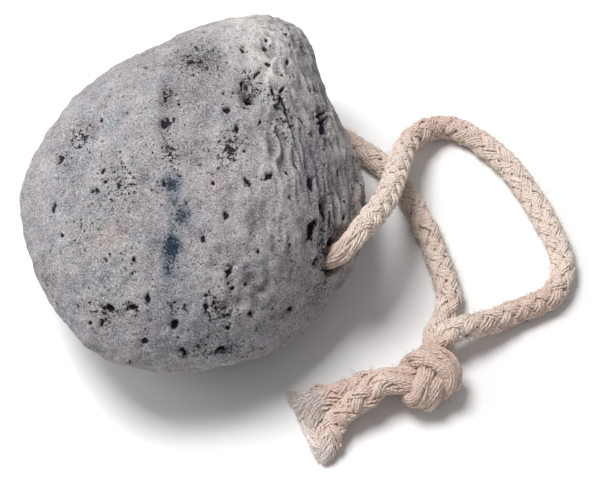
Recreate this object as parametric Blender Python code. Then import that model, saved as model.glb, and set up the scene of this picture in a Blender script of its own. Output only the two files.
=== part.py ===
"""A pumice cobble on a rope, as it lies on a table.

The stone is one natural piece, drilled through its right-hand end. One length of braided cotton rope
goes through the hole, and its two ends are tied in one overhand knot, past which they stick out.

Lengths are in millimetres, turned into metres by MM where a mesh or a curve is made. +Z is up, +X is
towards the rope, and the origin is on the table under the middle of the stone.
"""

import math
import random

import bmesh
import bpy
from mathutils import Matrix, Vector, noise
from mathutils.bvhtree import BVHTree

MM = 0.001

# The stone's broad upper face leans back from level. Its own frame is right, up the face and out.
LEAN = math.radians(30)
FACE_RIGHT = Vector((1, 0, 0))
FACE_UP = Vector((0, math.cos(LEAN), math.sin(LEAN)))
FACE_OUT = Vector((0, -math.sin(LEAN), math.cos(LEAN)))

# Outline of the stone, square on to the broad face: its radius every 20 degrees, counter-clockwise
# from the right-hand end. The longest radius is the blunt point at the upper right.
OUTLINE_RADII = (44.6, 42.0, 42.8, 50.5, 45.3, 39.1, 37.8, 38.2, 39.6,
                 42.2, 43.1, 44.0, 47.2, 45.2, 43.7, 45.2, 45.7, 45.6)
FACE_THICKNESS = 29.0
BELLY_THICKNESS = 29.0
FULLNESS = 2.3
LEVELLING = -0.29
STONE_CUTS = 15

# Worn flats, each with the way it faces, its distance from the middle and the softness of its edge.
FACE_FLATS = (
    ((0.83, 0.06, 0.55), 36.0, 1.8),
    ((0.62, -0.58, 0.52), 36.6, 3.0),
    ((-0.35, 0.45, -0.82), 31.0, 3.0),
)
UNDER_FLATS = (
    ((0.35, 0.50, -0.79), 31.3, 2.0),
    ((-0.45, -0.50, -0.74), 35.5, 3.0),
    ((0.0, 0.0, -1.0), 25.4, 0.8),
)
BASE_BELOW_MIDDLE = 24.9

# Shallow hollows of the broad face: place (right, up), reach and depth.
HOLLOWS = (
    ((3.5, 28.0), 10.0, 1.4),
    ((-3.5, 19.0), 7.0, 0.9),
    ((16.0, 26.0), 6.0, 0.8),
    ((20.0, -8.0), 8.0, 0.7),
)
LUMP_SIZES = ((26.0, 0.9), (10.0, 0.4), (5.0, 0.18))

# Open gas pits of the broad face and the right flank: place (right, up), length, width, depth, and
# the turn of the length from straight up, in degrees.
FACE_PITS = (
    (12.5, 35.0, 3.2, 1.4, 1.6, -20),
    (14.0, 25.4, 4.4, 3.2, 2.0, 15),
    (15.2, 21.8, 3.4, 5.0, 2.2, -10),
    (16.6, 29.2, 4.0, 1.2, 1.2, 40),
    (9.3, 19.5, 2.2, 2.0, 1.6, 0),
    (-5.5, 15.9, 3.8, 2.2, 1.4, 15),
    (20.2, 24.0, 4.8, 1.2, 1.2, -8),
    (23.4, 20.4, 4.6, 1.2, 1.2, -10),
    (24.8, 16.2, 5.0, 1.4, 1.3, -8),
    (10.4, 9.7, 1.6, 2.6, 1.0, 20),
    (19.4, 3.1, 2.2, 1.8, 1.6, 10),
    (14.4, 2.0, 1.6, 3.6, 1.0, 50),
    (25.6, 6.3, 2.2, 1.6, 1.2, 20),
    (32.4, 16.7, 6.5, 1.5, 1.6, -6),
    (29.9, 2.1, 3.8, 1.8, 1.6, 4),
    (32.3, -4.8, 6.0, 1.4, 1.6, -10),
    (29.4, -9.2, 6.4, 2.4, 2.2, 6),
    (9.4, -6.3, 2.8, 1.8, 1.0, 5),
    (4.0, -11.7, 2.8, 1.8, 1.0, 0),
    (10.1, -19.9, 3.2, 1.2, 1.4, 20),
    (14.9, -29.4, 1.6, 2.8, 1.4, 20),
    (24.6, -28.8, 2.0, 1.8, 1.2, 0),
    (-18.1, -27.9, 2.6, 2.8, 1.6, 30),
    (-12.2, -27.8, 2.0, 3.6, 1.4, 0),
    (-2.8, -32.1, 3.0, 2.4, 1.4, 20),
    (7.7, -38.2, 2.0, 3.4, 1.4, 0),
    (-9.8, -35.8, 2.2, 1.8, 1.0, 20),
    (-31.0, 7.7, 3.4, 1.6, 1.4, 15),
    (-32.3, -4.2, 3.6, 1.8, 1.0, 10),
    (-29.8, -10.9, 2.0, 1.6, 1.2, 0),
    (-20.1, 4.3, 2.6, 1.6, 1.0, 15),
)
BACK_PIT_COUNT = 9
BACK_PIT_SEED = 11
BACK_PIT_SIZES = (1.8, 4.0)
BACK_PIT_SPREAD = 38.0

ROPE_WIDTH = 6.5
ROPE_SIDES_SETTING = 3
ROPE_STEP = 5.0

# The hole is wider than the rope, and the rope has worn both of its mouths.
BORE_WIDTH = 8.6
FRONT_MOUTH = Vector((36.5, -18.4, 27.4))
FRONT_MOUTH_SIZE = (6.0, 5.2, 2.6)
BACK_MOUTH = Vector((17.5, 25.6, 9.6))
BACK_MOUTH_SIZE = (5.8, 5.6, 2.6)

# Centre of the rope, in the world. The first run is in the hole, from its back mouth to its front
# one, the long side then rises over the short one and lies in a loop, and both sides meet the knot.
BORE_RUN = (
    (17.0, 27.4, 9.8), (21.0, 13.3, 13.9), (25.9, -3.7, 18.7), (28.7, -12.2, 21.0),
    (30.5, -16.6, 22.7), (32.9, -19.2, 25.2), (35.9, -19.7, 28.0), (38.9, -17.4, 29.7),
)
LONG_RUN = (
    (23.6, 4.6, 16.4), (25.9, -3.7, 18.7), (28.7, -12.2, 21.0), (30.5, -16.6, 22.7),
    (32.9, -19.2, 25.2), (35.9, -19.7, 28.0), (38.8, -17.2, 29.7), (41.2, -13.6, 29.2),
    (43.5, -9.8, 27.8), (47.6, -0.6, 21.9), (49.9, 7.6, 16.5), (51.8, 16.4, 12.0),
    (55.2, 26.2, 7.6), (61.1, 32.1, 4.6), (66.3, 33.1, 3.5), (72.6, 30.0, 3.3),
    (80.7, 22.1, 3.3), (85.1, 14.8, 3.3), (88.4, 8.2, 3.3), (91.1, 1.6, 3.3),
    (93.1, -4.5, 3.3), (93.6, -10.2, 3.3), (92.5, -14.8, 3.3), (89.8, -18.4, 3.3),
    (85.3, -20.8, 3.3), (79.9, -23.2, 3.7), (76.0, -25.5, 4.7), (72.4, -28.0, 6.4),
    (69.2, -30.3, 8.4), (66.4, -32.4, 9.7), (63.2, -35.0, 10.0),
)
SHORT_RUN = (
    (23.5, 5.0, 16.3), (21.0, 13.3, 13.9), (18.9, 20.8, 11.7), (17.4, 27.2, 9.2),
    (17.9, 32.2, 6.6), (20.8, 35.8, 4.4), (26.2, 36.2, 3.4), (32.6, 32.5, 3.3),
    (38.2, 29.0, 3.3), (45.3, 23.7, 3.3), (48.9, 20.5, 3.3), (52.0, 16.2, 3.3),
    (54.4, 11.4, 3.3), (58.9, 1.3, 3.3), (61.8, -8.0, 3.3), (64.7, -16.9, 3.3),
    (65.2, -21.4, 3.3), (64.6, -25.4, 3.3), (63.2, -29.4, 3.3), (61.4, -33.4, 3.3),
)

# The knot's outer shape: its middle, half sizes along, across and up, and its two flat ends, where
# the two sides go in and the two tails come out.
KNOT_MIDDLE = Vector((57.2, -41.5, 7.9))
KNOT_HALF_SIZES = (7.5, 10.2, 7.8)
KNOT_TURN = math.radians(202)
KNOT_FULLNESS = 2.6
KNOT_CUTS = 7
KNOT_ENDS = (((0.62, 0.78, 0.0), 8.0), ((-0.98, -0.17, 0.0), 7.2))
WRAP_SPACING = 7.2
WRAP_SLANT = 0.35
WRAP_GROOVE = 0.8

LEFT_TAIL_RUN = (
    (48.8, -41.2, 3.3), (46.3, -41.8, 3.3), (44.1, -42.3, 3.3), (39.8, -44.0, 3.3),
    (36.6, -45.2, 3.3), (33.6, -46.2, 3.3), (30.4, -47.0, 3.3), (27.4, -47.8, 3.3),
    (23.4, -48.6, 3.3),
)
FRONT_TAIL_RUN = (
    (49.5, -44.7, 9.5), (47.2, -45.2, 9.5), (44.9, -45.9, 9.3), (40.9, -49.1, 8.1),
    (37.6, -51.6, 6.4), (35.0, -54.2, 4.4), (33.5, -58.2, 3.4), (31.9, -63.2, 3.3),
)
TAIL_STEP = 4.0

# The frayed ends are spread sideways and lie flat.
FRAY_LENGTH = 12.0
LEFT_FRAY_SPREAD = 0.85
FRONT_FRAY_SPREAD = 0.5
FRAY_FLATNESS = 0.35


def smooth_step(value):
    value = min(max(value, 0.0), 1.0)
    return value * value * (3 - 2 * value)


def between(before, start, end, after, part):
    """Value on a smooth curve from start to end, which also heads for the values on either side."""
    square, cube = part * part, part ** 3
    return (start * (2 * cube - 3 * square + 1) + (end - before) / 2 * (cube - 2 * square + part)
            + end * (3 * square - 2 * cube) + (after - start) / 2 * (cube - square))


# ---- The stone's own shape ----


def outline_radius(angle):
    count = len(OUTLINE_RADII)
    place = angle / math.tau * count % count
    index = int(place)
    radii = (OUTLINE_RADII[(index + step) % count] for step in (-1, 0, 1, 2))
    return between(*radii, place - index)


def inflated_outline(direction):
    """Point of the plain cobble in a direction: right, up and out from its middle."""
    across = math.hypot(direction.x, direction.y)
    size = (across ** FULLNESS + abs(direction.z) ** FULLNESS) ** (-1 / FULLNESS)
    reach = outline_radius(math.atan2(direction.y, direction.x)) * size
    thickness = FACE_THICKNESS if direction.z > 0 else BELLY_THICKNESS
    return Vector((direction.x * reach, direction.y * reach, direction.z * size * thickness))


def worn_against(point, flat):
    """The point pressed back behind a flat that has a soft edge."""
    facing, distance, softness = flat
    facing = Vector(facing).normalized()
    beyond = (facing.dot(point) - distance) / softness
    return point - facing * softness * math.log1p(math.exp(min(beyond, 50.0)))


def hollowed(point):
    if point.z > 0:
        for (right, up), reach, depth in HOLLOWS:
            apart = math.hypot(point.x - right, point.y - up)
            point = point - Vector((0, 0, depth * smooth_step(1 - apart / reach)))
    return point


def lumpy(point):
    rise = sum(height * noise.noise(point / size) for size, height in LUMP_SIZES)
    return point + point.normalized() * rise


def stone_point(direction):
    """Point of the stone's surface in a direction, from its middle, as it stands in the world."""
    point = inflated_outline(direction)
    for flat in FACE_FLATS:
        point = worn_against(point, flat)
    point = lumpy(hollowed(point))
    point.z += LEVELLING * point.y
    point = FACE_RIGHT * point.x + FACE_UP * point.y + FACE_OUT * point.z
    for flat in UNDER_FLATS:
        point = worn_against(point, flat)
    return point


def make_stone(collection, colour):
    """The plain stone, cut flat where it rests, and the place of its middle above the origin."""
    bm = ball_of_triangles(STONE_CUTS)
    for vert in bm.verts:
        vert.co = stone_point(vert.co) * MM
    low = [min(vert.co[axis] for vert in bm.verts) for axis in range(2)]
    high = [max(vert.co[axis] for vert in bm.verts) for axis in range(2)]
    middle = Vector((-(low[0] + high[0]) / 2, -(low[1] + high[1]) / 2, BASE_BELOW_MIDDLE * MM))
    bmesh.ops.translate(bm, verts=bm.verts[:], vec=middle)
    cut_flat(bm, Vector((0, 0, 0)), Vector((0, 0, -1)))
    return new_object("pumice_stone", bm, collection, colour), middle


# ---- Making objects ----


def principled(name, colour, roughness):
    made = bpy.data.materials.new(name)
    made.use_nodes = True
    shader = made.node_tree.nodes["Principled BSDF"]
    shader.inputs["Base Color"].default_value = (*colour, 1.0)
    shader.inputs["Roughness"].default_value = roughness
    shader.inputs["Metallic"].default_value = 0.0
    return made


def new_object(name, bm, collection, material):
    mesh = bpy.data.meshes.new(name)
    bm.to_mesh(mesh)
    bm.free()
    made = bpy.data.objects.new(name, mesh)
    collection.objects.link(made)
    if material:
        mesh.materials.append(material)
    return made


def cut_flat(bm, place, facing):
    """Takes off all that lies beyond a plane, and closes the cut with one flat face."""
    everything = bm.verts[:] + bm.edges[:] + bm.faces[:]
    bmesh.ops.bisect_plane(bm, geom=everything, dist=1e-6, plane_co=place, plane_no=facing,
                           clear_outer=True)
    rim = [edge for edge in bm.edges if edge.is_boundary]
    bmesh.ops.contextual_create(bm, geom=rim)
    bmesh.ops.recalc_face_normals(bm, faces=bm.faces[:])


def ball_of_triangles(cuts):
    """A ball of radius 1 made from a cube, with even triangles all over."""
    bm = bmesh.new()
    bmesh.ops.create_cube(bm, size=2.0)
    bmesh.ops.subdivide_edges(bm, edges=bm.edges[:], cuts=cuts, use_grid_fill=True)
    for vert in bm.verts:
        evened = [math.tan(side * math.pi / 4) for side in vert.co]
        vert.co = Vector(evened).normalized()
    bmesh.ops.triangulate(bm, faces=bm.faces[:])
    return bm


def hide_cutter(cutter):
    cutter.hide_render = True
    cutter.display_type = "WIRE"


# ---- The rope's route and tubes ----


def smooth_route(run, step):
    """Evenly spaced points, about a step apart, on a smooth curve through the run's points."""
    run = [Vector(point) for point in run]
    run = [run[0] * 2 - run[1]] + run + [run[-1] * 2 - run[-2]]
    fine = [run[1]]
    parts = 24
    for index in range(1, len(run) - 2):
        for part in range(1, parts + 1):
            fine.append(between(*run[index - 1:index + 3], part / parts))
    travelled = [0.0]
    for start, end in zip(fine, fine[1:]):
        travelled.append(travelled[-1] + (end - start).length)
    count = max(round(travelled[-1] / step), 2)
    points, index = [], 0
    for number in range(count + 1):
        wanted = travelled[-1] * number / count
        while index < len(fine) - 2 and travelled[index + 1] < wanted:
            index += 1
        part = (wanted - travelled[index]) / (travelled[index + 1] - travelled[index])
        points.append(fine[index].lerp(fine[index + 1], part))
    return points


def tube(name, points, width, collection, material):
    """A round tube with closed ends along the points, as a curve object."""
    curve = bpy.data.curves.new(name, "CURVE")
    curve.dimensions = "3D"
    curve.bevel_depth = width / 2 * MM
    curve.bevel_resolution = ROPE_SIDES_SETTING
    curve.use_fill_caps = True
    spline = curve.splines.new("POLY")
    spline.points.add(len(points) - 1)
    for spot, point in zip(spline.points, points):
        spot.co = (*(point * MM), 1.0)
    made = bpy.data.objects.new(name, curve)
    collection.objects.link(made)
    if material:
        curve.materials.append(material)
    return made


def as_mesh(made, collection):
    """The object as one closed mesh, in place of its curve."""
    name = made.name
    materials = list(made.data.materials)
    graph = bpy.context.evaluated_depsgraph_get()
    bm = bmesh.new()
    bm.from_mesh(bpy.data.meshes.new_from_object(made.evaluated_get(graph)))
    bpy.data.objects.remove(made, do_unlink=True)
    bmesh.ops.remove_doubles(bm, verts=bm.verts[:], dist=1e-6)
    bmesh.ops.recalc_face_normals(bm, faces=bm.faces[:])
    return new_object(name, bm, collection, materials[0] if materials else None)


# ---- Pits and the hole ----


def pit_frame(place, facing, turn):
    """Matrix that sets a pit on the surface: its Y runs along the pit and its Z faces out."""
    along = (FACE_UP - facing * FACE_UP.dot(facing)).normalized()
    along = Matrix.Rotation(-math.radians(turn), 3, facing) @ along
    across = along.cross(facing)
    axes = Matrix((across, along, facing)).transposed()
    return Matrix.Translation(place) @ axes.to_4x4()


def pit_cutter(number, frame, length, width, depth, collection):
    bm = bmesh.new()
    bmesh.ops.create_icosphere(bm, subdivisions=2, radius=1.0)
    shape = Matrix.Diagonal((width / 2 * MM, length / 2 * MM, depth * MM, 1.0))
    bmesh.ops.transform(bm, matrix=frame @ shape, verts=bm.verts[:])
    hide_cutter(new_object(f"pit_{number:02d}", bm, collection, None))


def cut_face_pits(surface, middle, collection):
    """Cutters for the listed pits, set where a line square to the broad face meets the stone."""
    for number, (right, up, length, width, depth, turn) in enumerate(FACE_PITS):
        start = middle + (FACE_RIGHT * right + FACE_UP * up + FACE_OUT * 80) * MM
        place, facing, _, _ = surface.ray_cast(start, -FACE_OUT)
        frame = pit_frame(place, facing, turn)
        pit_cutter(number, frame, length, width, depth, collection)


def cut_back_pits(surface, middle, collection):
    """Cutters for pits strewn over the back and the belly, clear of the base."""
    draw = random.Random(BACK_PIT_SEED)
    made = 0
    while made < BACK_PIT_COUNT:
        slant = math.radians(draw.uniform(-BACK_PIT_SPREAD, BACK_PIT_SPREAD))
        heading = math.radians(draw.uniform(20, 200))
        ray = Vector((math.cos(heading) * math.cos(slant), math.sin(heading) * math.cos(slant),
                      math.sin(slant)))
        place, facing, _, _ = surface.ray_cast(middle, ray)
        size = draw.uniform(*BACK_PIT_SIZES)
        turn = draw.uniform(-30, 30)
        near_mouth = (place / MM - BACK_MOUTH).length < BORE_WIDTH + size
        if place.z < 4 * MM or near_mouth:
            continue
        frame = pit_frame(place, facing, turn)
        pit_cutter(len(FACE_PITS) + made, frame, size, size * 0.7, size * 0.5, collection)
        made += 1


def mouth_cutter(name, surface, mouth, half_sizes, heading, collection):
    """Cutter for a worn mouth: a scoop sunk in the surface, longest the way the rope has pulled."""
    place, facing, _, _ = surface.find_nearest(mouth * MM)
    along = (heading - facing * heading.dot(facing)).normalized()
    axes = Matrix((along.cross(facing), along, facing)).transposed()
    frame = Matrix.Translation(place) @ axes.to_4x4()
    length, width, depth = half_sizes
    bm = bmesh.new()
    bmesh.ops.create_icosphere(bm, subdivisions=3, radius=1.0)
    shape = Matrix.Diagonal((width * MM, length * MM, depth * MM, 1.0))
    bmesh.ops.transform(bm, matrix=frame @ shape, verts=bm.verts[:])
    hide_cutter(new_object(name, bm, collection, None))


def cut_hole(surface, collection):
    """Cutters for the hole: a tube along the rope in it, and the two worn mouths."""
    route = smooth_route(BORE_RUN, ROPE_STEP / 2)
    bore = as_mesh(tube("bore", route, BORE_WIDTH, collection, None), collection)
    hide_cutter(bore)
    front_pull = Vector(BORE_RUN[-1]) - Vector(BORE_RUN[-3])
    mouth_cutter("front_mouth", surface, FRONT_MOUTH, FRONT_MOUTH_SIZE, front_pull, collection)
    mouth_cutter("back_mouth", surface, BACK_MOUTH, BACK_MOUTH_SIZE, Vector((1, 0, 0)), collection)


# ---- Knot and frayed tails ----


def knot_point(direction):
    """Point of the knot in a direction, along, across and up from its middle."""
    sizes = KNOT_HALF_SIZES
    shares = [abs(direction[axis] / sizes[axis]) ** KNOT_FULLNESS for axis in range(3)]
    point = direction * sum(shares) ** (-1 / KNOT_FULLNESS)
    along = point.x + WRAP_SLANT * point.y
    groove = math.cos(math.pi * along / WRAP_SPACING) ** 2
    waist = math.exp(-(along / WRAP_SPACING) ** 2)
    return point - direction * WRAP_GROOVE * groove * waist


def make_knot(collection, colour):
    bm = ball_of_triangles(KNOT_CUTS)
    turn = Matrix.Rotation(KNOT_TURN, 3, "Z")
    for vert in bm.verts:
        vert.co = (KNOT_MIDDLE + turn @ knot_point(vert.co)) * MM
    for facing, distance in KNOT_ENDS:
        facing = Vector(facing).normalized()
        cut_flat(bm, (KNOT_MIDDLE + facing * distance) * MM, facing)
    return new_object("rope_knot", bm, collection, colour)


def make_tail(name, run, spread, collection, colour):
    """A tail of rope, whose frayed end is spread sideways and lies flat."""
    plain = tube(name, smooth_route(run, TAIL_STEP), ROPE_WIDTH, collection, colour)
    made = as_mesh(plain, collection)
    tip = Vector(run[-1])
    back = (Vector(run[-2]) - tip).normalized()
    sideways = back.cross(Vector((0, 0, 1))).normalized()
    for vert in made.data.vertices:
        place = vert.co / MM - tip
        frayed = smooth_step(1 - place.dot(back) / FRAY_LENGTH)
        place += sideways * place.dot(sideways) * spread * frayed
        place.z *= 1 - FRAY_FLATNESS * frayed
        place.z -= tip.z * FRAY_FLATNESS * frayed
        vert.co = (tip + place) * MM
    return made


for old in list(bpy.data.objects):
    bpy.data.objects.remove(old, do_unlink=True)

parts = bpy.data.collections.new("pumice_on_rope")
cutters = bpy.data.collections.new("cutters")
for shelf in (parts, cutters):
    bpy.context.scene.collection.children.link(shelf)

stone_grey = principled("pumice", (0.42, 0.41, 0.42), 0.95)
cotton = principled("cotton_rope", (0.72, 0.58, 0.50), 0.9)

stone, stone_middle = make_stone(parts, stone_grey)
stone_surface = BVHTree.FromObject(stone, bpy.context.evaluated_depsgraph_get())
cut_face_pits(stone_surface, stone_middle, cutters)
cut_back_pits(stone_surface, stone_middle, cutters)
cut_hole(stone_surface, cutters)
carving = stone.modifiers.new("pits_and_hole", "BOOLEAN")
carving.operation = "DIFFERENCE"
carving.solver = "EXACT"
carving.operand_type = "COLLECTION"
carving.collection = cutters

tube("rope_long_side", smooth_route(LONG_RUN, ROPE_STEP), ROPE_WIDTH, parts, cotton)
tube("rope_short_side", smooth_route(SHORT_RUN, ROPE_STEP), ROPE_WIDTH, parts, cotton)
make_knot(parts, cotton)
make_tail("rope_tail_left", LEFT_TAIL_RUN, LEFT_FRAY_SPREAD, parts, cotton)
make_tail("rope_tail_front", FRONT_TAIL_RUN, FRONT_FRAY_SPREAD, parts, cotton)
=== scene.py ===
"""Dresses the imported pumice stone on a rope: grey-beige pumice full of gas pits, on a braided cotton rope.

Lengths are in metres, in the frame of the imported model: +Z is up, +X is towards the rope, and the
origin is on the table under the middle of the stone.
"""

import math

import bmesh
import bpy
import numpy as np
from mathutils import Matrix, Vector, noise
from mathutils.bvhtree import BVHTree
from mathutils.kdtree import KDTree


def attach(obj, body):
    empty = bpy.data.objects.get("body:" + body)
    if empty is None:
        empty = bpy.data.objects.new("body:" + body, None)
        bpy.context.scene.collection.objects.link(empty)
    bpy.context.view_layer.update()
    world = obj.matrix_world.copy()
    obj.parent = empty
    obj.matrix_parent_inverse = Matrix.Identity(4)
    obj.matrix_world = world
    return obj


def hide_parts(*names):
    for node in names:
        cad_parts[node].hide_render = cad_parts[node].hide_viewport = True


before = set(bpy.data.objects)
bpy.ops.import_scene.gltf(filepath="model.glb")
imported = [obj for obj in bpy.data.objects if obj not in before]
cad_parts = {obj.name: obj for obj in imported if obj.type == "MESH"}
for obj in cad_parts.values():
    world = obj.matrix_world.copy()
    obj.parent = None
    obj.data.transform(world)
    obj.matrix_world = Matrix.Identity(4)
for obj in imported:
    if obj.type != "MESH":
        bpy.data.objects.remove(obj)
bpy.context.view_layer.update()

MM = 0.001

# ---- Camera ----
# A long lens looks down at 60 degrees from the front.

camera_data = bpy.data.cameras.new("camera")
camera_data.lens = 120.0
camera_data.sensor_width = 36.0
camera = bpy.data.objects.new("camera", camera_data)
camera.location = (0.02615, -0.26285, 0.45079)
camera.rotation_euler = (math.radians(30), 0, 0)
bpy.context.collection.objects.link(camera)
bpy.context.scene.camera = camera

# ---- Rope ----
# One length of soft, undyed cotton rope, 6.5 mm wide: eight flat strands of four twisted yarns each, braided round a
# core. It goes through the hole, and its two ends are tied together in one overhand knot. Each of its
# two sides, from the middle of the hole to a frayed tip, is a piece.

ROPE_STEP = 0.75 * MM
STRANDS_EACH_WAY = 4
YARNS_IN_STRAND = 4
YARN_WIDTH = 0.80 * MM
YARN_SPACING = 0.60 * MM
BRAID_PITCH = 21 * MM
BRAID_RISE = 0.36 * MM
BRAID_RADIUS = 2.60 * MM
CORE_WIDTH = 4.7 * MM
KNOT_PITCH = 60 * MM
KNOT_SQUEEZE = 0.80
ROUND = 1
SQUARE = 0

# The route of each side, in millimetres: out of the hole to the knot, round in the knot, and the tail.
LONG_SIDE = (
    (23.6, 4.6, 16.4), (25.9, -3.7, 18.7), (28.7, -12.2, 21.0), (30.5, -16.6, 22.7),
    (32.9, -19.2, 25.2), (35.9, -19.7, 28.0), (38.8, -17.2, 29.7), (41.2, -13.6, 29.2),
    (43.5, -9.8, 27.8), (47.6, -0.6, 21.9), (49.9, 7.6, 16.5), (51.8, 16.4, 12.0),
    (55.2, 26.2, 7.6), (61.1, 32.1, 4.6), (66.3, 33.1, 3.5), (72.6, 30.0, 3.3),
    (80.7, 22.1, 3.3), (85.1, 14.8, 3.3), (88.4, 8.2, 3.3), (91.1, 1.6, 3.3),
    (93.1, -4.5, 3.3), (93.6, -10.2, 3.3), (92.5, -14.8, 3.3), (89.8, -18.4, 3.3),
    (85.3, -20.8, 3.3), (79.9, -23.2, 3.7), (76.0, -25.5, 4.7), (71.5, -27.8, 6.4),
    (67.0, -29.6, 8.2), (63.0, -31.8, 8.8),
)
LONG_KNOT = (
    (59.8, -35.6, 7.4), (58.2, -40.0, 7.7), (56.8, -44.7, 9.5), (54.9, -48.7, 7.7),
    (52.8, -45.7, 4.5), (52.7, -40.3, 5.2), (55.2, -39.2, 9.4), (59.4, -40.6, 11.4),
    (62.7, -44.0, 9.2), (60.7, -46.2, 5.4), (55.9, -45.6, 6.6), (51.1, -45.6, 8.2),
)
FRONT_TAIL = (
    (45.9, -45.7, 8.5), (41.4, -48.9, 7.2), (37.7, -51.2, 5.8), (35.0, -53.9, 4.3),
    (33.2, -57.4, 3.4), (32.5, -60.2, 3.2),
)
SHORT_SIDE = (
    (23.5, 5.0, 16.3), (21.0, 13.3, 13.9), (18.9, 20.8, 11.7), (17.4, 27.2, 9.2),
    (17.9, 32.2, 6.6), (20.8, 35.8, 4.4), (26.2, 36.2, 3.4), (32.6, 32.5, 3.3),
    (38.2, 29.0, 3.3), (45.3, 23.7, 3.3), (48.9, 20.5, 3.3), (52.0, 16.2, 3.3),
    (54.4, 11.4, 3.3), (58.9, 1.3, 3.3), (61.8, -8.0, 3.3), (64.0, -16.9, 3.3),
    (63.6, -21.4, 3.3), (62.2, -25.4, 3.3), (60.2, -29.8, 3.3),
)
SHORT_KNOT = (
    (60.0, -35.0, 3.6), (60.6, -40.6, 5.8), (59.6, -45.5, 8.5), (57.4, -48.8, 5.5),
    (55.5, -44.6, 3.1), (55.7, -39.4, 4.3), (57.9, -37.1, 8.7), (62.4, -39.7, 8.7),
    (63.7, -43.1, 5.3), (59.1, -42.8, 3.8), (54.7, -42.0, 6.6), (49.8, -42.2, 5.6),
)
LEFT_TAIL = (
    (44.4, -42.4, 3.4), (39.8, -44.0, 3.3), (36.6, -45.2, 3.3), (33.6, -46.2, 3.3),
    (29.6, -47.3, 3.2),
)
FRONT_MOUTH = (36.5, -18.4, 27.4)
BACK_MOUTH = (17.5, 25.6, 9.6)
KNOT_MIDDLE = np.array((56.6, -41.4, 7.7)) * MM
KNOT_REACH = 11.5 * MM
MOUTH_SQUEEZE = 0.88
MOUTH_REACH = 6.0 * MM

# Where the cotton is painted darker, partly as dirt from hands and the floor and partly as painted shade in the knot
# and at the hole's front mouth: place, reach and how much, lengths in millimetres.
SOIL_AND_SHADE = (
    ((57, -42, 8), 16, 1.0), ((61, 31, 5), 18, 0.75), ((70, 32, 4), 12, 0.5), ((86, -21, 3), 14, 0.85),
    ((74, -27, 6), 12, 0.5), ((33, -50, 4), 26, 0.75), ((38, 28, 3), 18, 0.35), ((62, -8, 3), 22, 0.3),
    ((36, -19, 27), 8, 0.9), ((58, -38, 8), 14, 0.5),
)


def smooth_route(run, step):
    """Evenly spaced points, about a step apart, on a smooth curve through the run's points in millimetres."""
    run = np.array(run) * MM
    run = np.vstack([run[0] * 2 - run[1], run, run[-1] * 2 - run[-2]])
    part = (np.arange(24) / 24)[:, None]
    fine = []
    for before, start, end, after in zip(run, run[1:], run[2:], run[3:]):
        fine.append(start * (2 * part ** 3 - 3 * part ** 2 + 1) + end * (3 * part ** 2 - 2 * part ** 3)
                    + (end - before) / 2 * (part ** 3 - 2 * part ** 2 + part)
                    + (after - start) / 2 * (part ** 3 - part ** 2))
    fine = np.vstack(fine + [run[-2:-1]])
    along = np.concatenate([[0], np.cumsum(np.linalg.norm(np.diff(fine, axis=0), axis=1))])
    wanted = np.linspace(0, along[-1], round(along[-1] / step) + 1)
    return np.stack([np.interp(wanted, along, fine[:, axis]) for axis in range(3)], axis=1), wanted


def unit(vectors):
    return vectors / np.linalg.norm(vectors, axis=-1, keepdims=True)


def carried_frame(route):
    """Tangent, side and top of a frame carried along the route without twisting."""
    tangent = unit(np.gradient(route, axis=0))
    side = np.zeros_like(route)
    side[0] = unit(np.cross(tangent[0], (0, 0, 1.0)))
    for index in range(1, len(route)):
        side[index] = unit(side[index - 1] - tangent[index] * (side[index - 1] @ tangent[index]))
    return tangent, side, np.cross(tangent, side)


def smooth_step(value):
    value = np.clip(value, 0, 1)
    return value * value * (3 - 2 * value)


def wander(draw, along, size, shortest, longest):
    """A smooth random wave along the rope."""
    total = np.zeros_like(along)
    for _ in range(4):
        wave = draw.uniform(shortest, longest)
        total += np.sin(along * math.tau / wave + draw.uniform(0, math.tau))
    return total * size / 2


def pressed_at(route):
    """How far the knot and the hole's mouths hold the rope at each point: 1 is wholly in the knot or in a mouth."""
    in_knot = smooth_step(1.6 - 1.3 * np.linalg.norm(route - KNOT_MIDDLE, axis=1) / KNOT_REACH)
    mouths = [smooth_step(1.5 - np.linalg.norm(route - np.array(mouth) * MM, axis=1) / MOUTH_REACH)
              for mouth in (FRONT_MOUTH, BACK_MOUTH)]
    in_mouth = np.maximum(*mouths)
    return in_knot, 1 - (1 - KNOT_SQUEEZE) * in_knot - (1 - MOUTH_SQUEEZE) * in_mouth, np.maximum(in_knot, in_mouth)


def soil_and_shade_at(points):
    """How much darker the cotton is painted, for dirt and painted shade, from 0 to 1, at each point."""
    soil_and_shade = np.zeros(len(points))
    for place, reach, amount in SOIL_AND_SHADE:
        away = np.linalg.norm(points - np.array(place) * MM, axis=1) / (reach * MM)
        soil_and_shade = np.maximum(soil_and_shade, amount * smooth_step(1.5 * (1 - away)))
    return soil_and_shade


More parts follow.
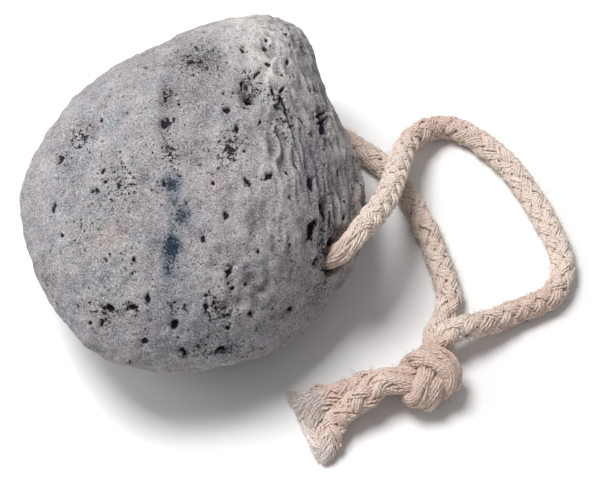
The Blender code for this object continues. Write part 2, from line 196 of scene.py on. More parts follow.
def spun(name, lines, widths, values, section):
    """One mesh of closed yarns or fibres, with a value of each kind at each point of each line."""
    drawn = bpy.data.curves.new(name + "_lines", "CURVE")
    drawn.dimensions = "3D"
    drawn.bevel_depth = 0.5
    drawn.bevel_resolution = section
    for line, width in zip(lines, widths):
        spline = drawn.splines.new("POLY")
        spline.points.add(len(line) - 1)
        spline.points.foreach_set("co", np.column_stack([line, np.ones(len(line))]).ravel())
        spline.points.foreach_set("radius", width)
    lined = bpy.data.objects.new(name + "_lines", drawn)
    bpy.context.collection.objects.link(lined)
    mesh = bpy.data.meshes.new_from_object(lined.evaluated_get(bpy.context.evaluated_depsgraph_get()))
    bpy.data.objects.remove(lined)
    bpy.data.curves.remove(drawn)
    around = len(mesh.vertices) // sum(len(line) for line in lines)
    values["soil_and_shade"] = [soil_and_shade_at(line) for line in lines]
    for key, kept in values.items():
        held = mesh.attributes.new(key, "FLOAT", "POINT")
        held.data.foreach_set("value", np.repeat(np.concatenate(kept), around).astype(np.float32))
    places = np.empty(len(mesh.vertices) * 3, np.float32)
    mesh.vertices.foreach_get("co", places)
    places[2::3] = np.maximum(places[2::3], 0.02 * MM)
    mesh.vertices.foreach_set("co", places)
    bm = bmesh.new()
    bm.from_mesh(mesh)
    bmesh.ops.holes_fill(bm, edges=[edge for edge in bm.edges if edge.is_boundary])
    bmesh.ops.recalc_face_normals(bm, faces=bm.faces)
    bm.to_mesh(mesh)
    bm.free()
    mesh.shade_smooth()
    mesh.name = name
    made = bpy.data.objects.new(name, mesh)
    bpy.context.collection.objects.link(made)
    return made


def braid(name, route, along, fray_length, draw):
    """The braided rope along a route. Its last stretch is loose and flat, and its yarns end there."""
    tangent, side, top = carried_frame(route)
    total = along[-1]
    in_knot, squeeze, held = pressed_at(route)
    loose = smooth_step((along - total + 26 * MM) / (16 * MM))
    fray = smooth_step((along - total + fray_length) / fray_length)
    pace = math.tau / (BRAID_PITCH + (KNOT_PITCH - BRAID_PITCH) * held)
    pace = pace * (1 - 0.7 * fray) * (1 + wander(draw, along, 0.12, 20 * MM, 50 * MM))
    turned = np.concatenate([[0], np.cumsum(pace[:-1] * np.diff(along))])
    level_side = unit(np.cross(tangent, (0, 0, 1.0)))
    lines, widths, tone, sunk_shade, reached = [], [], [], [], []
    lean = 1 / math.cos(math.atan(math.tau * BRAID_RADIUS / BRAID_PITCH))
    for way in (1, -1):
        for strand in range(STRANDS_EACH_WAY):
            strand_tone = draw.uniform(0, 1)
            drift = wander(draw, along, 0.12, 15 * MM, 40 * MM) * (1 + loose)
            swell = wander(draw, along, 0.12 * MM, 6 * MM, 25 * MM) * (1 + loose)
            for yarn in range(YARNS_IN_STRAND):
                place = yarn - (YARNS_IN_STRAND - 1) / 2
                offset = place * YARN_SPACING * lean / BRAID_RADIUS
                offset = offset * (1 + wander(draw, along, 0.22, 8 * MM, 25 * MM))
                angle = way * turned + strand * math.tau / STRANDS_EACH_WAY + offset + drift
                over = way * np.cos(STRANDS_EACH_WAY * (turned + way * offset / 2))
                rise = BRAID_RISE * (1 - 0.6 * in_knot) * (1 - 0.4 * fray)
                reach = BRAID_RADIUS + rise * over - 0.05 * MM * place * place + swell
                restless = wander(draw, along, 0.10 * MM, 2.5 * MM, 12 * MM) * (1 + 1.2 * loose)
                reach = (reach + restless) * squeeze
                shift = (np.cos(angle)[:, None] * side + np.sin(angle)[:, None] * top) * reach[:, None]
                flat = np.sum(shift * level_side, axis=1)
                shift = shift + level_side * (flat * 0.35 * fray)[:, None]
                shift[:, 2] -= shift[:, 2] * 0.45 * fray + 1.0 * MM * fray
                line = route + shift
                width = YARN_WIDTH * (1 + wander(draw, along, 0.12, 3 * MM, 12 * MM)) * (1 - 0.25 * fray)
                end = len(line) - int(max(draw.uniform(-0.4, 0.6), 0) * fray_length / ROPE_STEP)
                lines.append(line[:end])
                widths.append(width[:end])
                tone.append(np.full(end, 0.6 * strand_tone + 0.4 * draw.uniform(0, 1)))
                # How far under its neighbours the yarn lies: the material paints shade by it.
                sunk_shade.append((0.5 - 0.5 * over)[:end])
                reached.append(along[:end] / MM)
    # The core lies under all the yarns and takes the full painted shade.
    end = len(route) - int(fray_length * 0.6 / ROPE_STEP)
    lines.append(route[:end])
    widths.append(CORE_WIDTH * squeeze[:end])
    tone.append(np.zeros(end))
    sunk_shade.append(np.ones(end))
    reached.append(along[:end] / MM)
    return spun(name, lines, widths, {"tone": tone, "sunk_shade": sunk_shade, "reached": reached}, ROUND)


def fibres(name, lines, width, draw):
    """Loose cotton fibres, one for each line."""
    widths = [np.full(len(line), width * draw.uniform(0.7, 1.3)) for line in lines]
    tone = [np.full(len(line), draw.uniform(0, 1)) for line in lines]
    sunk_shade = [np.zeros(len(line)) for line in lines]
    reached = [np.linspace(0, 0.2, len(line)) for line in lines]
    return spun(name, lines, widths, {"tone": tone, "sunk_shade": sunk_shade, "reached": reached}, SQUARE)


FUZZ_WIDTH = 0.055 * MM
FUZZ_LENGTHS = (0.8 * MM, 2.4 * MM)
FUZZ_POINTS = 4


def fuzz(name, route, along, count, clear, draw):
    """Short stray fibres that stand off the rope's surface, from a clear distance along it."""
    tangent, side, top = carried_frame(route)
    squeeze = pressed_at(route)[1]
    lines = []
    for index in draw.integers(round(clear / ROPE_STEP), len(route) - 12, count):
        angle = draw.uniform(0, math.tau)
        out = math.cos(angle) * side[index] + math.sin(angle) * top[index]
        reach = (BRAID_RADIUS + 0.5 * MM) * squeeze[index]
        start = route[index] + out * reach
        if start[2] < 0.6 * MM:
            continue
        heading = unit(tangent[index] * draw.choice((-1, 1)) + draw.normal(0, 0.6, 3) + out * 0.5)
        curl = draw.normal(0, 0.5, 3) - out * 0.35
        step = draw.uniform(*FUZZ_LENGTHS) / (FUZZ_POINTS - 1)
        line = [start]
        for _ in range(FUZZ_POINTS - 1):
            line.append(line[-1] + heading * step)
            heading = unit(heading + curl * 0.5)
        lines.append(np.array(line))
    return fibres(name, lines, FUZZ_WIDTH, draw)


FRAY_WIDTH = 0.13 * MM
FRAY_POINTS = 8


def frayed_end(name, route, along, fray_length, edge, count, draw):
    """The rope's end, brushed out into a flat felt of fibres that reaches an edge given in millimetres."""
    tangent = unit(np.gradient(route, axis=0))
    level_side = unit(np.cross(tangent, (0, 0, 1.0)))
    edge = np.array(edge) * MM
    part = np.arange(FRAY_POINTS) / (FRAY_POINTS - 1)
    lines = []
    for _ in range(count):
        across = draw.uniform(0, 1)
        index = len(route) - 1 - int(fray_length * draw.uniform(0.0, 1.0) / ROPE_STEP)
        high = draw.uniform(0, 1)
        start = route[index] + level_side[index] * (1 - 2 * across) * 2.7 * MM
        start[2] = route[index][2] * (0.3 + 1.35 * high * math.sqrt(max(1 - (1 - 2 * across) ** 2, 0)))
        spot = np.array([np.interp(across * (len(edge) - 1), range(len(edge)), edge[:, axis]) for axis in (0, 1)])
        end = np.append(spot, 0.1 * MM + 2.6 * MM * high * draw.uniform(0.4, 1))
        end = start + (end - start) * min(draw.uniform(0.55, 1.15), draw.uniform(0.94, 1.02))
        bend = start + tangent[index] * fray_length * 0.4
        line = (np.outer((1 - part) ** 2, start) + np.outer(2 * part * (1 - part), bend) + np.outer(part ** 2, end))
        for axis, size in enumerate((0.30, 0.30, 0.18)):
            line[:, axis] += wander(draw, part, size * MM, 0.25, 1.2) * part
        lines.append(line)
    return fibres(name, lines, FRAY_WIDTH, draw)


def node(tree, kind, **values):
    made = tree.nodes.new(kind)
    for key, value in values.items():
        if key in made.inputs:
            made.inputs[key].default_value = value
        else:
            setattr(made, key, value)
    return made


def ramp(tree, value, stops):
    """Colour or grey stops (place, colour) read by a value."""
    made = tree.nodes.new("ShaderNodeValToRGB")
    tree.links.new(value, made.inputs[0])
    elements = made.color_ramp.elements
    while len(elements) < len(stops):
        elements.new(0.5)
    for element, (place, colour) in zip(elements, stops):
        element.position = place
        element.color = (*colour, 1) if isinstance(colour, tuple) else (colour, colour, colour, 1)
    return made.outputs[0]


def mix(tree, factor, first, second, blend="MIX"):
    made = tree.nodes.new("ShaderNodeMix")
    made.data_type = "RGBA"
    made.blend_type = blend
    for socket, value in ((made.inputs[0], factor), (made.inputs[6], first), (made.inputs[7], second)):
        if isinstance(value, tuple):
            socket.default_value = (*value, 1)
        elif isinstance(value, float):
            socket.default_value = value
        else:
            tree.links.new(value, socket)
    return made.outputs[2]


def calculate(tree, operation, first, second=0.0, clamp=False):
    made = tree.nodes.new("ShaderNodeMath")
    made.operation = operation
    made.use_clamp = clamp
    for socket, value in zip(made.inputs, (first, second)):
        if isinstance(value, (int, float)):
            socket.default_value = value
        else:
            tree.links.new(value, socket)
    return made.outputs[0]


def in_millimetres(tree):
    place = tree.nodes.new("ShaderNodeTexCoord")
    made = node(tree, "ShaderNodeVectorMath", operation="SCALE", Scale=1000.0)
    tree.links.new(place.outputs["Object"], made.inputs[0])
    return made.outputs[0]


def noise_of(tree, place, size, detail, rough=0.5):
    made = node(tree, "ShaderNodeTexNoise", Scale=1 / size, Detail=detail, Roughness=rough)
    tree.links.new(place, made.inputs["Vector"])
    return made.outputs[0]


PLY_LAY = 1.1
PLIES = 2


def cotton_material(name, clean, darker_cotton, hollow, twisted):
    """Soft cotton: clean, darker where soiled and as painted shade, with painted shade deep between the yarns and in
    the grooves of yarns twisted from plies, and painted glints on the fibres.
    """
    made = bpy.data.materials.new(name)
    made.use_nodes = True
    tree = made.node_tree
    shader = tree.nodes["Principled BSDF"]
    place = in_millimetres(tree)
    tone, sunk_shade, soil_and_shade, reached = (node(tree, "ShaderNodeAttribute", attribute_name=key).outputs["Fac"]
                                 for key in ("tone", "sunk_shade", "soil_and_shade", "reached"))
    split = tree.nodes.new("ShaderNodeSeparateXYZ")
    tree.links.new(node(tree, "ShaderNodeUVMap", uv_map="UVMap").outputs[0], split.inputs[0])
    turn = calculate(tree, "MULTIPLY", split.outputs[1], PLIES * math.pi)
    turn = calculate(tree, "ADD", turn, calculate(tree, "MULTIPLY", reached, math.pi / PLY_LAY))
    ply = calculate(tree, "ABSOLUTE", calculate(tree, "SINE", turn))
    patches = ramp(tree, noise_of(tree, place, 5.0, 4.0, 0.6), ((0.35, 0.0), (0.65, 1.0)))
    # Dirt and painted shade at the darker spots by the knot, the loop and the hole's mouth, broken up in patches.
    dirt_and_shade = calculate(tree, "MULTIPLY", soil_and_shade, calculate(tree, "ADD", calculate(tree, "MULTIPLY", patches, 0.6), 0.55))
    colour = mix(tree, dirt_and_shade, clean, darker_cotton)
    colour = mix(tree, calculate(tree, "MULTIPLY", tone, 0.35), colour, darker_cotton)
    # Painted shade: yarns under their neighbours, the core, and the grooves between twisted plies are darkened
    # towards the hollow colour.
    colour = mix(tree, calculate(tree, "MULTIPLY", sunk_shade, 0.38), colour, hollow)
    colour = mix(tree, ramp(tree, ply, ((0.0, 0.5 * twisted), (0.6, 0.0))), colour, hollow)
    # Fine flecks from one noise: darker ones, and near-white ones that are painted glints of light on the fibres.
    lint_and_glints = noise_of(tree, place, 0.28, 2.0, 0.6)
    colour = mix(tree, ramp(tree, lint_and_glints, ((0.34, 0.6 * twisted), (0.48, 0.0))), colour, darker_cotton)
    colour = mix(tree, ramp(tree, lint_and_glints, ((0.52, 0.0), (0.68, 0.75))), colour, (0.98, 0.88, 0.82))
    bits = noise_of(tree, place, 0.8, 1.0)
    colour = mix(tree, ramp(tree, bits, ((0.745, 0.0), (0.775, 0.85))), colour, (0.10, 0.065, 0.05))
    tree.links.new(colour, shader.inputs["Base Color"])
    shader.inputs["Roughness"].default_value = 0.9
    shader.inputs["Specular IOR Level"].default_value = 0.2
    shader.inputs["Sheen Weight"].default_value = 0.25
    shader.inputs["Sheen Roughness"].default_value = 0.5
    height = calculate(tree, "ADD", calculate(tree, "MULTIPLY", ply, twisted), lint_and_glints)
    bump = node(tree, "ShaderNodeBump", Strength=1.0, Distance=0.00015)
    tree.links.new(height, bump.inputs["Height"])
    tree.links.new(bump.outputs[0], shader.inputs["Normal"])
    return made


# Colours: clean; darker, for dirt, painted shade spots, random tone and flecks; the painted shade between yarns;
# then how twisted the yarns are.
cotton = cotton_material("undyed_cotton", (0.93, 0.81, 0.72), (0.64, 0.45, 0.37), (0.47, 0.33, 0.27), 1.0)
matted = cotton_material("matted_cotton", (0.95, 0.91, 0.89), (0.90, 0.78, 0.72), (0.80, 0.66, 0.58), 0.0)

# Where each brushed-out end stops on the table, from the tail's right-hand side to its left, in millimetres.
LEFT_EDGE = ((22.6, -43.8), (23.0, -46.2), (24.4, -49.0), (25.9, -52.0), (27.6, -55.2), (30.0, -55.6))
FRONT_EDGE = ((26.4, -51.6), (26.8, -54.4), (28.0, -57.6), (29.3, -61.2), (31.4, -63.8), (33.6, -62.9),
              (35.2, -60.4))

for side_name, run, mouth, clear, fray_length, edge, seed, nodes in (
        ("rope_long_side", LONG_SIDE + LONG_KNOT + FRONT_TAIL, FRONT_MOUTH, 28 * MM, 5 * MM, FRONT_EDGE, 5,
         ("rope_long_side", "rope_tail_front", "rope_knot")),
        ("rope_short_side", SHORT_SIDE + SHORT_KNOT + LEFT_TAIL, BACK_MOUTH, 22 * MM, 5 * MM, LEFT_EDGE, 8,
         ("rope_short_side", "rope_tail_left"))):
    draw = np.random.default_rng(seed)
    route, along = smooth_route(run, ROPE_STEP)
    rope = braid(side_name + "_braid", route, along, fray_length, draw)
    hairs = fuzz(side_name + "_fuzz", route, along, round(along[-1] / MM * 7), clear, draw)
    brush = frayed_end(side_name + "_frayed_end", route, along, fray_length, edge, 1000, draw)
    for piece, finish in ((rope, cotton), (hairs, cotton), (brush, matted)):
        piece.data.materials.append(finish)
        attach(piece, "root")
    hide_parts(*nodes)
    tuple(np.array(mouth) * MM)
    smooth_route(run, 3 * MM)[0].tolist()

# ---- Stone ----
# One natural cobble of pale pumice, a light volcanic glass foam. It is smooth with wear, with open gas pits and tiny
# pits all over, painted dark as the shade inside them, and it rests on a flat. The rope's hole runs through its
# right-hand end.

STONE_GRAIN = 0.84 * MM
STONE_MIDDLE = Vector((-0.596, -0.506, 24.9)) * MM
LEAN = math.radians(30)
FACE_RIGHT = Vector((1, 0, 0))
FACE_UP = Vector((0, math.cos(LEAN), math.sin(LEAN)))
FACE_OUT = Vector((0, -math.sin(LEAN), math.cos(LEAN)))
SEEN_SIDE = 0.15

# Open pits of the broad face and the right flank, in millimetres: place (right, up), length, width,
# depth, and the turn of the length from straight up, in degrees.
FACE_PITS = (
    (12.5, 35.0, 3.2, 1.4, 1.6, -20), (12.9, 25.2, 3.0, 1.7, 1.6, 15),
    (14.6, 21.0, 1.9, 3.6, 1.8, -10), (16.4, 28.6, 4.5, 0.9, 1.0, 40),
    (9.3, 19.5, 2.2, 2.0, 1.6, 0), (-5.5, 15.9, 3.8, 2.2, 1.4, 15),
    (20.2, 24.0, 4.8, 1.2, 1.2, -8), (23.4, 20.4, 4.6, 1.2, 1.2, -10),
    (24.8, 16.2, 5.0, 1.4, 1.3, -8), (10.4, 9.7, 1.6, 2.6, 1.0, 20),
    (19.4, 3.1, 2.2, 1.8, 1.6, 10), (14.4, 2.0, 1.6, 3.6, 1.0, 50),
    (25.6, 6.3, 2.2, 1.6, 1.2, 20), (32.6, 16.9, 9.5, 6.0, 3.0, -6),
    (29.6, 1.6, 5.2, 2.6, 1.8, 4), (32.9, -4.8, 8.0, 4.2, 2.4, -10),
    (29.4, -9.2, 6.4, 2.4, 2.2, 6), (9.4, -6.3, 2.8, 1.8, 1.0, 5),
    (4.0, -11.7, 2.8, 1.8, 1.0, 0), (10.1, -19.9, 3.2, 1.2, 1.4, 20),
    (14.9, -29.4, 1.6, 2.8, 1.4, 20), (24.6, -28.8, 2.0, 1.8, 1.2, 0),
    (-18.1, -27.9, 2.6, 2.8, 1.6, 30), (-12.2, -27.8, 2.0, 3.6, 1.4, 0),
    (-2.8, -32.1, 3.0, 2.4, 1.4, 20), (7.7, -38.2, 2.0, 3.4, 1.4, 0),
    (-9.8, -35.8, 2.2, 1.8, 1.0, 20), (-31.0, 7.7, 3.4, 1.6, 1.4, 15),
    (-32.3, -4.2, 3.6, 1.8, 1.0, 10), (-29.8, -10.9, 2.0, 1.6, 1.2, 0),
    (-20.1, 4.3, 2.6, 1.6, 1.0, 15), (30.3, -17.0, 4.0, 2.8, 1.6, 0), (30.8, 25.0, 5.5, 1.8, 1.5, -20),
)
# Wide hollows worn into the broad face, in the same numbers.
HOLLOWS = (
    (3.0, 33.0, 11, 15, 1.2, 10), (-5.4, 24.0, 20, 4.6, 1.0, 0), (-4.9, 10.5, 15, 4.0, 0.7, -5),
    (14.3, 22.6, 9.5, 9.0, 1.5, 0), (-3.4, -3.0, 20, 4.0, 0.5, -8), (8.5, -14.5, 6, 3.6, 0.8, 5),
    (16.2, -9.0, 7, 3.4, 0.9, 22), (13.2, -18.6, 3.6, 7, 0.7, 0), (20.8, -13.0, 8, 3.4, 0.9, -10),
    (18.0, -23.0, 7, 3.6, 0.7, 12), (10.5, -25.0, 6, 4.4, 0.6, -20), (24.5, -20.0, 8, 3.0, 0.8, 5),
    (-24.5, 14.0, 7, 6, 0.6, 0), (-30.0, 3.0, 7, 4, 0.6, 10), (4.5, 15.5, 4.0, 8, 0.5, 0),
)
STREWN_PITS = 460
STREWN_WIDTHS = (0.6 * MM, 1.5 * MM)
STREWN_SEED = 12
DIMPLES = 170
DIMPLE_REACHES = (1.5 * MM, 4.5 * MM)
CLUSTER_SIZE = 9.0


def stone_copy():
    """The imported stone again, on an even, fine grid that is finer where the camera looks."""
    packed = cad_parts["pumice_stone"]
    bm = bmesh.new()
    bm.from_mesh(packed.data)
    bmesh.ops.remove_doubles(bm, verts=bm.verts[:], dist=1e-6)
    mesh = bpy.data.meshes.new("pumice")
    bm.to_mesh(mesh)
    bm.free()
    made = bpy.data.objects.new("pumice", mesh)
    bpy.context.collection.objects.link(made)
    grid = made.modifiers.new("grid", "REMESH")
    grid.mode = "VOXEL"
    grid.voxel_size = STONE_GRAIN
    soften = made.modifiers.new("soften", "SMOOTH")
    soften.factor = 0.5
    soften.iterations = 5
    bpy.context.view_layer.update()
    even = bpy.data.meshes.new_from_object(made.evaluated_get(bpy.context.evaluated_depsgraph_get()))
    made.modifiers.clear()
    made.data = even
    bm = bmesh.new()
    bm.from_mesh(even)
    bm.normal_update()
    seen = [edge for edge in bm.edges
            if all(face.normal.dot(FACE_OUT) > SEEN_SIDE for face in edge.link_faces)]
    bmesh.ops.subdivide_edges(bm, edges=seen, cuts=1, use_grid_fill=True)
    bmesh.ops.triangulate(bm, faces=bm.faces[:])
    bm.to_mesh(even)
    bm.free()
    return made


def lumps(spot):
    """Height of the lumpy surface, smoothed by wear, in millimetres, with flow lines that run up the flank and the
    crease.
    """
    height = 0.50 * noise.noise(spot / 7.0) + 0.42 * noise.noise(spot / 3.4) + 0.26 * noise.noise(spot / 1.5)
    right, up, out = spot.x, spot.dot(FACE_UP), spot.dot(FACE_OUT)
    knobbly = max(0.0, 1 - math.hypot((right - 14) / 14, (up + 12) / 14))
    height += knobbly * (1.3 * noise.noise(spot / 2.9) + 0.5)
    furrowed = min(max((right - 13 - max(8 - up, 0) * 0.8) / 7, 0), 1)
    crest = furrowed * max(0.35, 1 - math.hypot((right - 22) / 9, (up - 22) / 18))
    along = Vector((right / 2.6 + 40, up / 17.0, out / 2.6))
    lines = 0.5 - 2.6 * abs(noise.noise(along))
    lines += 0.4 * noise.noise(Vector((right / 1.1, up / 7.0 + 20, out / 1.1)))
    return height + lines * (0.04 + 1.35 * crest)


def on_the_stone(surface, place, facing, turn):
    """Frame of a pit: across, along and out, its length turned from straight up the face."""
    along = (FACE_UP - facing * FACE_UP.dot(facing)).normalized()
    along = Matrix.Rotation(-math.radians(turn), 3, facing) @ along
    return np.array(along.cross(facing)), np.array(along), np.array(facing)


def listed(surface, marks):
    """The marks of a list, each at its place on the surface."""
    for right, up, length, width, depth, turn in marks:
        start = STONE_MIDDLE + (FACE_RIGHT * right + FACE_UP * up + FACE_OUT * 80) * MM
        place, facing, _, _ = surface.ray_cast(start, -FACE_OUT)
        yield place, on_the_stone(surface, place, facing, turn), length / 2 * MM, width / 2 * MM, depth * 0.7 * MM


def strewn_pits(surface, mesh, draw):
    """Small pits in loose clusters all over."""
    crowding = np.array([noise.noise(face.center / (CLUSTER_SIZE * MM)) for face in mesh.polygons])
    weights = np.array([face.area for face in mesh.polygons]) * (0.12 + np.clip(crowding * 2.5, 0, 1))
    for number in draw.choice(len(weights), STREWN_PITS, p=weights / weights.sum()):
        face = mesh.polygons[number]
        small, large = STREWN_WIDTHS
        width = small * (large / small) ** (draw.uniform() ** 2.0)
        place = on_the_stone(surface, face.center, face.normal, draw.normal(0, 35))
        yield face.center, place, width * draw.uniform(0.5, 1.1), width / 2, width * draw.uniform(0.4, 0.9)


def dimples(surface, mesh, draw):
    """Wide, shallow hollows, smoothed by wear."""
    areas = np.array([face.area for face in mesh.polygons])
    for number in draw.choice(len(areas), DIMPLES, p=areas / areas.sum()):
        face = mesh.polygons[number]
        reach = draw.uniform(*DIMPLE_REACHES)
        place = on_the_stone(surface, face.center, face.normal, draw.normal(0, 40))
        yield face.center, place, reach * draw.uniform(1.0, 1.6), reach, reach * 0.09


stone = stone_copy()
mesh = stone.data
mesh.shade_smooth()
surface = BVHTree.FromPolygons([vert.co for vert in mesh.vertices], [face.vertices for face in mesh.polygons])
count = len(mesh.vertices)
points = np.empty(count * 3, np.float32)
mesh.vertices.foreach_get("co", points)
points = points.reshape(-1, 3).astype(float)
facings = np.array([vert.normal[:] for vert in mesh.vertices])
tree_of_points = KDTree(count)
for index, point in enumerate(points):
    tree_of_points.insert(point, index)
tree_of_points.balance()
move = facings * np.array([lumps(Vector(point) / MM) for point in points])[:, None] * MM
ragged = np.array([noise.noise(Vector(point) / (0.8 * MM)) + 0.7 * noise.noise(Vector(point) / (1.9 * MM))
                   for point in points])
# How far into a pit each point lies, for the painted shade inside the pits.
pit_shade = np.zeros(count)


def press(pit, steep, raggedness):
    """Sinks one hollow into the surface, and returns the points in it and how far in they are."""
    place, (across, along, facing), half_length, half_width, depth = pit
    index = np.array([item[1] for item in tree_of_points.find_range(place, half_length * 1.6)], int)
    shift = points[index] - np.array(place)
    apart = np.hypot(shift @ along / half_length, shift @ across / half_width)
    apart = np.hypot(apart * (1 + raggedness * ragged[index]), 0.4 * (shift @ facing) / half_length)
    hollow = np.clip(steep * (1 - apart), 0, 1)
    hollow = hollow * hollow * (3 - 2 * hollow)
    move[index] -= facing * (hollow * depth)[:, None]
    return index, apart


draw = np.random.default_rng(STREWN_SEED)
for pit in list(dimples(surface, mesh, draw)) + list(listed(surface, HOLLOWS)):
    press(pit, 1.0, 0.2)
# How high each point stands after the lumps, dimples and hollows: the material paints shade in the low places.
raised = np.clip(np.sum(move * facings, axis=1) / (1.3 * MM) + 0.5, 0, 1)
for pit in list(listed(surface, FACE_PITS)) + list(strewn_pits(surface, mesh, draw)):
    index, apart = press(pit, 2.4, 0.55)
    pit_shade[index] = np.maximum(pit_shade[index], np.clip(1.6 * (1 - apart), 0, 1) * min(1.0, pit[4] / (0.6 * MM)))
move[points[:, 2] < 0.4 * MM] = 0
points = points + move
points[:, 2] = np.maximum(points[:, 2], 0.0)
mesh.vertices.foreach_set("co", points.astype(np.float32).ravel())
held = mesh.attributes.new("pit_shade", "FLOAT", "POINT")
held.data.foreach_set("value", pit_shade.astype(np.float32))
mesh.update()

# Broad tints of the stone: place (right, up), half width, half length, how much, and the colour.
# The dark tints in the hollow at (3, 32), down the trough at (-5.2, 20) and along the crease at (31, 8) are painted
# shade.
# The palest, on the crest at (23, 26) and (18.5, 31), are painted highlight; the pale apex at (14, 43) and (16, 36)
# is paler stone with painted highlight on it.
STONE_GREY = (0.430, 0.405, 0.425)
TINTS = (
    (-26, 0, 26, 46, 1.0, (0.365, 0.366, 0.390)), (12, 4, 17, 17, 0.8, (0.60, 0.52, 0.515)),
    (-18, -11, 6, 5, 0.55, (0.55, 0.40, 0.28)), (-3, -26, 7, 15, 0.7, (0.24, 0.285, 0.35)),
    (3, 32, 12, 9, 0.9, (0.19, 0.165, 0.17)), (-5.2, 20, 4, 14, 0.7, (0.19, 0.175, 0.185)),
    (14, 43, 17, 9, 1.0, (0.86, 0.83, 0.80)), (16, 36, 11, 8, 1.0, (0.94, 0.88, 0.83)), (23.0, 26, 7.0, 10, 1.0, (1.0, 0.93, 0.90)),
    (25, 35, 7, 7, 0.9, (0.66, 0.63, 0.62)), (31.0, 8, 5.5, 30, 0.9, (0.15, 0.135, 0.18)),
    (41.5, 4, 7.5, 26, 1.0, (0.56, 0.48, 0.465)), (27.5, 24, 5, 9, 0.6, (0.62, 0.57, 0.565)),
    (18.5, 31, 7, 7, 0.9, (0.98, 0.91, 0.87)),
    (30, -22, 9, 11, 0.5, (0.27, 0.25, 0.29)), (-22, -24, 14, 11, 0.6, (0.36, 0.37, 0.395)),
    (6, -34, 22, 12, 0.9, (0.36, 0.385, 0.44)),
    (14, -17, 15, 12, 0.7, (0.50, 0.475, 0.505)), (22, 8, 5, 12, 0.5, (0.52, 0.48, 0.47)),
    (-22, 20, 14, 14, 0.7, (0.47, 0.475, 0.495)),
)
# Blue-black stains down the middle of the face: place, half width, half length and strength.
STAINS = (
    (-3.6, 1.2, 4.6, 3.8, 0.95), (-2.7, -2.6, 3.2, 4.6, 0.72), (-1.0, -6.2, 4.4, 4.8, 0.95),
    (-3.3, -13.6, 4.8, 7.6, 1.05), (-4.2, -18.6, 3.0, 4.6, 0.78), (-2.8, -10.0, 4.4, 22.0, 0.5),
)
# Where small ragged pits crowd together: place, half width and half length.
CROWDS = (
    (-5.0, 16.2, 3.0, 4.0), (-4.0, 8.0, 3.6, 5.0), (-5.2, 23.0, 3.0, 5.0), (-2.3, -28.3, 5.0, 4.5),
    (-12.7, -28.1, 6.0, 3.5), (8.8, -38.0, 13, 4.5), (-30.4, 7.4, 4.0, 4.0), (2.5, 32.0, 10, 7.0),
    (-15.5, 1.0, 5.0, 6.0), (-18.5, -28.0, 4.0, 3.0), (14.5, 23.5, 5.0, 6.5), (8.0, -28.5, 6.0, 6.0),
    (22.0, 20.0, 5.0, 10.0), (-26.0, 12.0, 6.0, 6.0), (32.0, -14.0, 5.0, 8.0), (10.5, 11.0, 5.0, 5.0),
)


def nearness(spot, marks_end):
    """1 at the middle of an oval mark on the broad face, down to 0 at its edge, for every point."""
    right, up, half_width, half_length = spot
    near = np.clip(1 - np.hypot((face_right - right) / half_width, (face_up - up) / half_length), 0, 1)
    return near * smooth_step((face_out + marks_end) / 8)


face_right, face_up, face_out = (((points / MM) - np.array(STONE_MIDDLE) / MM) @ np.array(axis)
                                 for axis in (FACE_RIGHT, FACE_UP, FACE_OUT))
tint = np.tile(STONE_GREY, (count, 1))
for right, up, half_width, half_length, amount, shade in TINTS:
    share = np.minimum(nearness((right, up, half_width, half_length), 14) * 1.15, 1)[:, None] * amount
    tint = tint * (1 - share) + np.array(shade) * share
held = mesh.attributes.new("tint", "FLOAT_COLOR", "POINT")
held.data.foreach_set("color", np.column_stack([tint, np.ones(count)]).astype(np.float32).ravel())
for key, kept in (("raised", raised),
                  ("stained", np.max([nearness(spot[:4], 4) * spot[4] for spot in STAINS], axis=0)),
                  ("crowded", np.max([nearness(spot, 4) for spot in CROWDS], axis=0))):
    held = mesh.attributes.new(key, "FLOAT", "POINT")
    held.data.foreach_set("value", kept.astype(np.float32))

pumice = bpy.data.materials.new("pumice_stone")
pumice.use_nodes = True
tree = pumice.node_tree
shader = tree.nodes["Principled BSDF"]
place = in_millimetres(tree)
pit_shade_in, raised_by, stained, crowded = (node(tree, "ShaderNodeAttribute", attribute_name=key).outputs["Fac"]
                                        for key in ("pit_shade", "raised", "stained", "crowded"))

# The same place in the broad face's own frame: right, up and out from the stone's middle.
turned = node(tree, "ShaderNodeMapping", vector_type="TEXTURE", Location=tuple(STONE_MIDDLE / MM),
              Rotation=(LEAN, 0, 0))
tree.links.new(place, turned.inputs["Vector"])
on_face = turned.outputs[0]
drawn_out = node(tree, "ShaderNodeMapping", Scale=(1.0, 0.17, 1.0))
tree.links.new(on_face, drawn_out.inputs["Vector"])
axes = tree.nodes.new("ShaderNodeSeparateXYZ")
tree.links.new(on_face, axes.inputs[0])


def times(value, factor):
    return calculate(tree, "MULTIPLY", value, factor)


def plus(first, second):
    return calculate(tree, "ADD", first, second)


def past(value, threshold, softness):
    """0 below a threshold, rising to 1 a softness above it."""
    return calculate(tree, "DIVIDE", calculate(tree, "SUBTRACT", value, threshold), softness, clamp=True)


broad = noise_of(tree, place, 9.0, 3.0)
middling = noise_of(tree, place, 4.5, 4.0, 0.6)
fine = noise_of(tree, place, 0.40, 3.0, 0.85)
fleck = noise_of(tree, place, 0.6, 4.0, 0.85)
rough_edge = noise_of(tree, place, 0.75, 4.0, 0.75)
torn = noise_of(tree, place, 1.15, 5.0, 0.65)
pepper = noise_of(tree, place, 0.62, 2.0, 0.6)
streaks = noise_of(tree, drawn_out.outputs[0], 1.7, 4.0, 0.55)
blush = noise_of(tree, in_millimetres(tree), 5.5, 2.0)

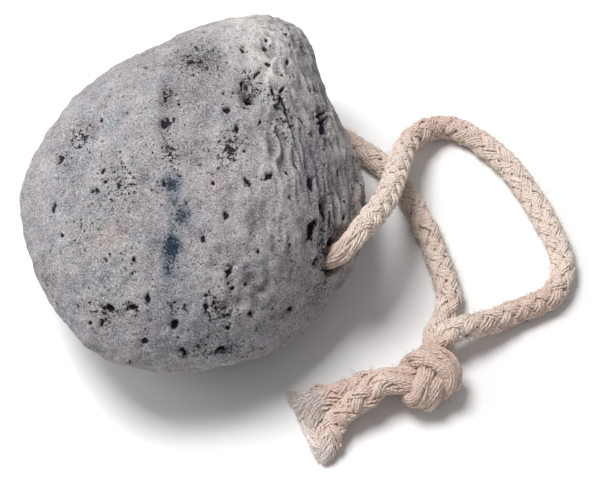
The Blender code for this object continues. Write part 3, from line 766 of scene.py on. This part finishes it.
# Gas pits, small torn pits that crowd together, slots drawn out along the flank, and small specks, all painted dark
# as the shade inside them.
pits = past(plus(pit_shade_in, times(rough_edge, 1.2)), 1.02, 0.28)
crowd = plus(times(ramp(tree, broad, ((0.40, 0.0), (0.66, 1.0))), 0.055), times(crowded, 0.12))
torn_pits = past(plus(torn, crowd), 0.665, 0.05)
slots = past(plus(streaks, times(past(axes.outputs[0], 22.0, 12.0), 0.10)), 0.745, 0.04)
peppered = times(past(plus(pepper, crowd), 0.70, 0.06), 0.75)
dark = calculate(tree, "MAXIMUM", calculate(tree, "MAXIMUM", pits, torn_pits), slots)
dark = calculate(tree, "MAXIMUM", dark, peppered)

colour = node(tree, "ShaderNodeAttribute", attribute_name="tint").outputs["Color"]
colour = mix(tree, ramp(tree, broad, ((0.4, 0.0), (0.65, 0.6))), colour, (0.44, 0.40, 0.39))
colour = mix(tree, ramp(tree, blush, ((0.50, 0.0), (0.68, 0.5))), colour, (0.43, 0.355, 0.385))
colour = mix(tree, ramp(tree, blush, ((0.32, 0.45), (0.48, 0.0))), colour, (0.31, 0.345, 0.385))
# Painted shade in the low places of the mid-sized relief, which the bump also follows.
colour = mix(tree, ramp(tree, middling, ((0.35, 0.38), (0.6, 0.0))), colour, (0.19, 0.18, 0.20))
# Painted shade in the low places of the relief; the high places are made paler.
colour = mix(tree, ramp(tree, raised_by, ((0.0, 0.65), (0.45, 0.0))), colour, (0.16, 0.145, 0.15))
colour = mix(tree, ramp(tree, raised_by, ((0.5, 0.0), (1.0, 0.45))), colour, (0.66, 0.63, 0.61))
# Dark flecks are painted where the fine grain's bump lies low, as the shade in its tiny pits; pale flecks where it
# stands high.
colour = mix(tree, ramp(tree, fine, ((0.345, 0.95), (0.46, 0.0))), colour, (0.10, 0.097, 0.105))
colour = mix(tree, ramp(tree, fine, ((0.53, 0.0), (0.64, 0.85))), colour, (0.78, 0.76, 0.77))
colour = mix(tree, times(past(stained, 0.0, 0.8), 0.5), colour, (0.20, 0.25, 0.32))
blotch = past(plus(stained, times(fleck, 2.4)), 1.66, 0.28)
colour = mix(tree, times(blotch, 0.94), colour, (0.012, 0.027, 0.050))
# Painted shade inside the pits, slots and specks: grey at their edges, near black deeper in, with an indigo cast on
# the flank.
colour = mix(tree, times(past(dark, 0.0, 0.4), 0.62), colour, (0.13, 0.12, 0.13))
colour = mix(tree, times(past(dark, 0.4, 0.4), 0.95), colour, (0.025, 0.022, 0.030))
indigo = calculate(tree, "MULTIPLY", past(dark, 0.3, 0.4), past(axes.outputs[0], 21.0, 6.0))
colour = mix(tree, times(indigo, 0.8), colour, (0.045, 0.035, 0.075))
tree.links.new(colour, shader.inputs["Base Color"])
shader.inputs["Roughness"].default_value = 0.95
shader.inputs["Specular IOR Level"].default_value = 0.15
grain = plus(times(fine, 1.1), times(middling, 2.0))
height = calculate(tree, "SUBTRACT", grain, times(dark, 1.3))
bump = node(tree, "ShaderNodeBump", Strength=1.0, Distance=0.00045)
tree.links.new(height, bump.inputs["Height"])
tree.links.new(bump.outputs[0], shader.inputs["Normal"])
mesh.materials.clear()
mesh.materials.append(pumice)
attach(stone, "root")
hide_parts("pumice_stone")

# ---- Stage ----
# A plain, pale floor, a large soft light from the upper left and a pale sky.

bm = bmesh.new()
bmesh.ops.create_grid(bm, x_segments=1, y_segments=1, size=2.0)
floor_mesh = bpy.data.meshes.new("floor")
bm.to_mesh(floor_mesh)
bm.free()
floor = bpy.data.objects.new("floor", floor_mesh)
bpy.context.collection.objects.link(floor)
white = bpy.data.materials.new("floor_white")
white.use_nodes = True
white.node_tree.nodes["Principled BSDF"].inputs["Base Color"].default_value = (0.9, 0.9, 0.9, 1)
white.node_tree.nodes["Principled BSDF"].inputs["Roughness"].default_value = 0.9
floor_mesh.materials.append(white)

world = bpy.data.worlds.new("soft_sky")
bpy.context.scene.world = world
world.use_nodes = True
world.node_tree.nodes["Background"].inputs["Color"].default_value = (1, 1, 1, 1)
world.node_tree.nodes["Background"].inputs["Strength"].default_value = 0.28

for name, place, power, width in (("key", (-0.27, 0.18, 0.84), 8.2, 0.35), ("left_fill", (-0.72, 0.09, 0.54), 1.9, 0.5)):
    light_data = bpy.data.lights.new(name, "AREA")
    light_data.energy = power
    light_data.size = width
    light = bpy.data.objects.new(name, light_data)
    light.location = place
    light.rotation_euler = Vector(place).to_track_quat("Z", "Y").to_euler()
    bpy.context.collection.objects.link(light)

bpy.context.scene.view_settings.view_transform = "Standard"
